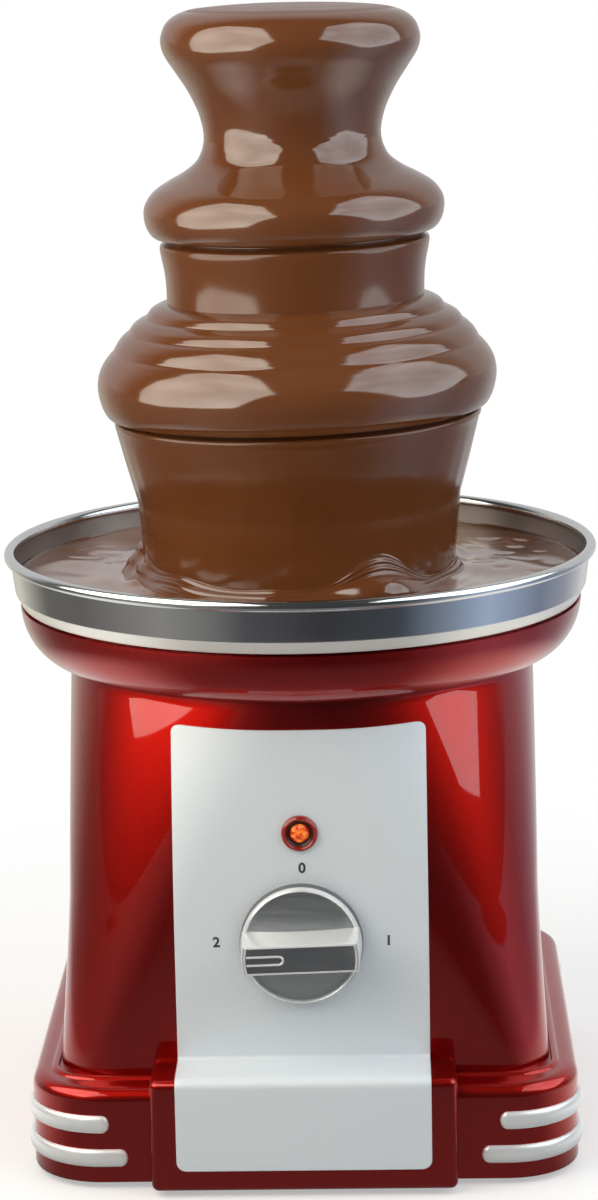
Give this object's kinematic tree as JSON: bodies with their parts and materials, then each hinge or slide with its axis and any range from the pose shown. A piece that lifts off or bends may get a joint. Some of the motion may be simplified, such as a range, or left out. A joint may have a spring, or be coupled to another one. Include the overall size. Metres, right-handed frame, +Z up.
{
  "type": "chocolate fountain",
  "caption": "Table-top chocolate fountain: square base and red lofted housing, steel bowl, tiered tower with a motor-driven screw, rotary switch and pilot lamp.",
  "frame": {"origin": "on the table under the tower's axis, at the middle of the outline seen from above", "axes": "+Z up along the tower, -Y out of the front with the control panel"},
  "size_m": [0.2, 0.2, 0.3765],
  "materials": {
    "red_paint": "candy red metallic paint under clear coat",
    "silver_paint": "satin silver paint",
    "band_silver": "satin aluminium",
    "knob_silver": "satin silver plating",
    "bowl_steel": "spun and brushed",
    "chocolate": "melted milk chocolate, wet gloss",
    "black_plastic": "moulded",
    "rubber": "moulded",
    "zinc_steel": "zinc plated",
    "lamp_red": "red translucent plastic",
    "lamp_glow": "lit neon",
    "tower_steel": "drawn stainless steel",
    "white_plastic": "moulded",
    "copper": "enamelled winding wire",
    "bronze": "sintered bronze",
    "element_steel": "oxidised sheath"
  },
  "bodies": {
    "root": {"base_housing": "red_paint", "bottom_cover": "black_plastic", "feet": "rubber", "cover_screws": "zinc_steel", "cord_gland": "black_plastic", "upper_bands": "band_silver", "lower_bands": "band_silver", "upper_housing": "red_paint", "housing_screws": "zinc_steel", "control_panel": "silver_paint", "lamp_bezel": "lamp_red", "lamp_lens": "lamp_red", "lamp_bulb": "lamp_glow", "switch_body": "white_plastic", "switch_nut": "zinc_steel", "bowl_collar": "red_paint", "bowl": "bowl_steel", "bowl_studs": "zinc_steel", "bowl_nuts": "zinc_steel", "heating_element": "element_steel", "thermostat": "white_plastic", "thermal_fuse": "white_plastic", "chassis_plate": "zinc_steel", "chassis_screws": "zinc_steel", "plate_pillars": "zinc_steel", "motor_plate": "zinc_steel", "motor_can": "zinc_steel", "motor_coil": "copper", "rotor_bushes": "bronze", "idler_pin": "zinc_steel", "shaft_bushes": "bronze", "shaft_seal": "rubber", "tower_tube": "tower_steel", "lower_tier": "tower_steel", "middle_tier": "tower_steel", "crown": "tower_steel", "chocolate_pool": "chocolate", "chocolate_lower": "chocolate", "chocolate_middle": "chocolate", "chocolate_crown": "chocolate"},
    "knob": {"control_knob": "knob_silver", "switch_spindle": "zinc_steel"},
    "drive": {"output_gear": "white_plastic", "drive_shaft": "zinc_steel", "drive_coupler": "white_plastic", "screw": "white_plastic"},
    "idler": {"idler_gear": "white_plastic"},
    "rotor": {"rotor": "zinc_steel", "rotor_pinion": "bronze"}
  },
  "joints": [
    {"name": "knob_turn", "type": "hinge", "parent": "root", "child": "knob", "pos_m": [0, -0.07818, 0.08], "axis": [0, 1, 0.004], "range_deg": [0, 180]},
    {"name": "rotor_spin", "type": "hinge", "parent": "root", "child": "rotor", "pos_m": [0.015, 0.02598, 0.13], "axis": [0, 0, 1], "continuous": true},
    {"name": "idler_spin", "type": "hinge", "parent": "root", "child": "idler", "pos_m": [0.03, 0, 0.145], "axis": [0, 0, 1], "continuous": true},
    {"name": "screw_spin", "type": "hinge", "parent": "root", "child": "drive", "pos_m": [0, 0, 0.2], "axis": [0, 0, 1], "continuous": true}
  ],
  "couplings": [
    {"joint": "idler_spin", "follows": "rotor_spin", "ratio": -0.25},
    {"joint": "screw_spin", "follows": "rotor_spin", "ratio": 0.0625}
  ]
}
